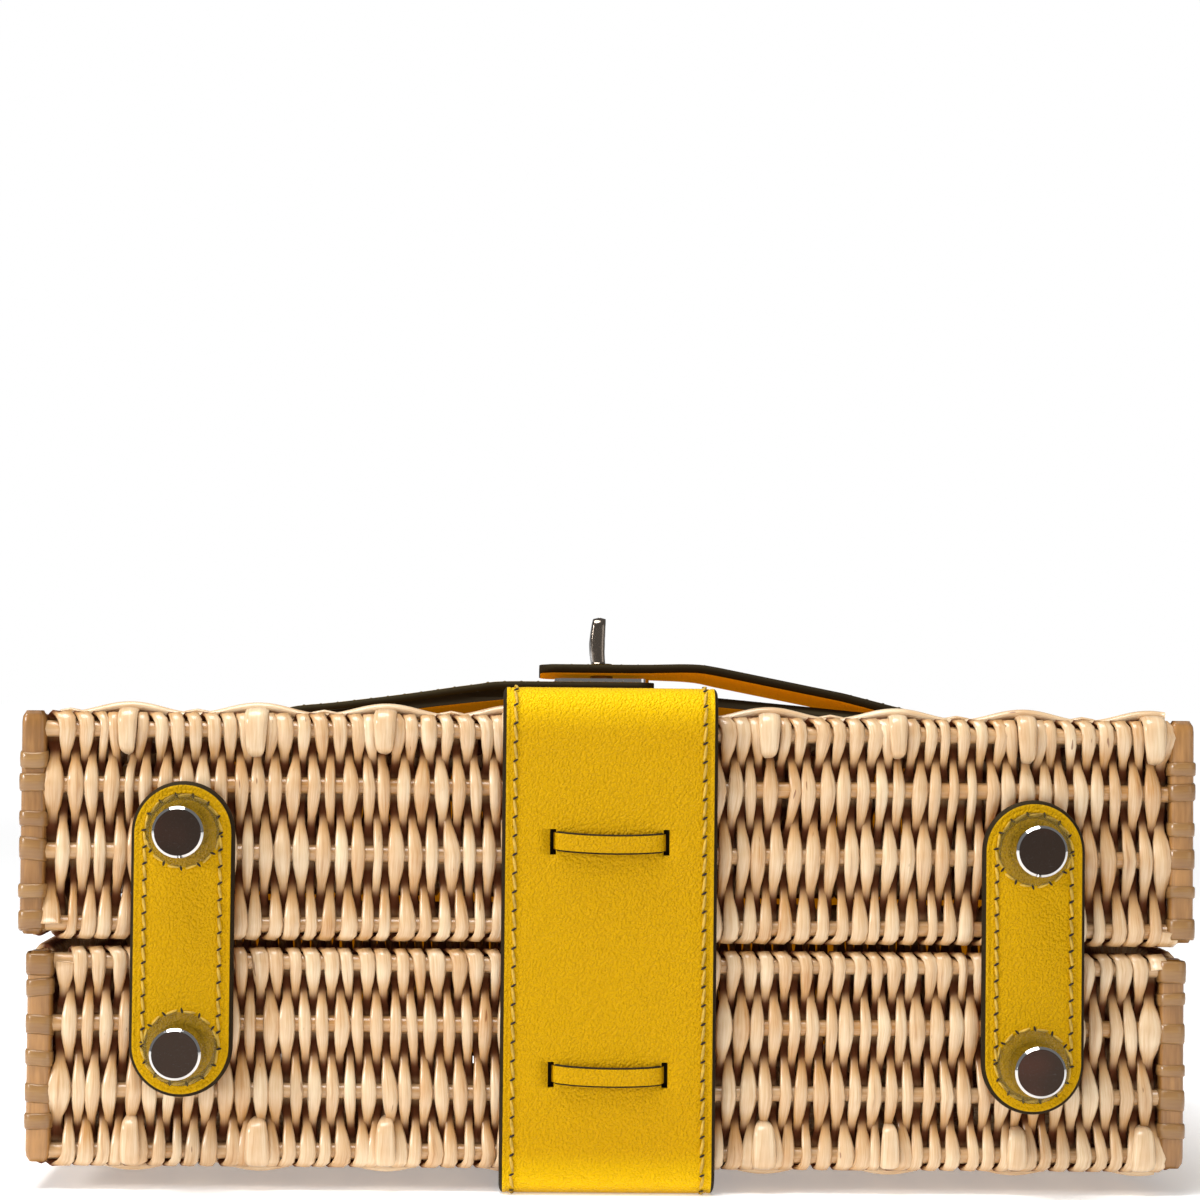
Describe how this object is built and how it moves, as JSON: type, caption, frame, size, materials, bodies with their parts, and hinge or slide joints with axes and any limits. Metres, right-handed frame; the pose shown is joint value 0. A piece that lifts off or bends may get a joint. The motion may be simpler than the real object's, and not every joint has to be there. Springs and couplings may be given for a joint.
{
  "type": "basket box bag",
  "caption": "Small rigid wicker basket bag of two hinged woven trays with a leather band, hinge tabs, flap, crossed straps, turn lock, metal feet and top handle.",
  "frame": {"origin": "centre of the surface it lies on, under the middle of the back face, on the outer face of the leather band", "axes": "+X along the bag's width, +Y from its bottom end with the feet towards its top end with the handle, +Z from its back face to its front face, up as it lies"},
  "size_m": [0.2, 0.1473, 0.099],
  "materials": {
    "woven_wicker": "lacquered willow weave",
    "willow_rod": "lacquered rod",
    "yellow_leather": "fine grained, dark painted edges",
    "clear_washer": "translucent",
    "bare_steel": "plain",
    "plated_metal": "polished, finely scratched"
  },
  "bodies": {
    "back_half": {"back_corner_posts": "willow_rod", "back_tray": "woven_wicker", "band_lace_back": "yellow_leather", "band_rivets": "plated_metal", "catch_keeper_left": "bare_steel", "catch_keeper_right": "bare_steel", "catch_patch_left": "yellow_leather", "catch_patch_right": "yellow_leather", "center_band": "yellow_leather", "foot_left_back": "plated_metal", "foot_nut_left_back": "plated_metal", "foot_nut_right_back": "plated_metal", "foot_right_back": "plated_metal", "foot_washer_left_back": "clear_washer", "foot_washer_right_back": "clear_washer", "hinge_tab_left": "yellow_leather", "hinge_tab_right": "yellow_leather"},
    "front_half": {"band_lace_front": "yellow_leather", "catch_magnet_left": "bare_steel", "catch_magnet_right": "bare_steel", "flap": "yellow_leather", "flap_lace_left": "yellow_leather", "flap_lace_right": "yellow_leather", "foot_left_front": "plated_metal", "foot_nut_left_front": "plated_metal", "foot_nut_right_front": "plated_metal", "foot_right_front": "plated_metal", "foot_washer_left_front": "clear_washer", "foot_washer_right_front": "clear_washer", "front_corner_posts": "willow_rod", "front_tray": "woven_wicker", "handle_mount_left": "plated_metal", "handle_mount_right": "plated_metal", "handle_mount_screws": "plated_metal", "handle_pin_left": "plated_metal", "handle_pin_right": "plated_metal", "slot_plate_left": "plated_metal", "slot_plate_right": "plated_metal", "strap_left": "yellow_leather", "strap_right": "yellow_leather", "turn_lock_base": "plated_metal", "turn_lock_rivets": "plated_metal"},
    "lock_knob": {"turn_lock_knob": "plated_metal"},
    "handle": {"handle_grip": "yellow_leather", "handle_eye_left": "plated_metal", "handle_eye_right": "plated_metal"}
  },
  "joints": [
    {"name": "tray_hinge", "type": "hinge", "parent": "back_half", "child": "front_half", "pos_m": [0, -0.06175, 0.0417], "axis": [1, 0, 0], "range_deg": [0, 100], "deforming": ["hinge_tab_left", "hinge_tab_right", "center_band"]},
    {"name": "turn_lock", "type": "hinge", "parent": "front_half", "child": "lock_knob", "pos_m": [0, 0.01187, 0.0784], "axis": [0, 0.061, 0.9981], "range_deg": [0, 90]},
    {"name": "handle_swing", "type": "hinge", "parent": "front_half", "child": "handle", "pos_m": [0, 0.0705, 0.056], "axis": [1, 0, 0], "range_deg": [0, 180]}
  ]
}
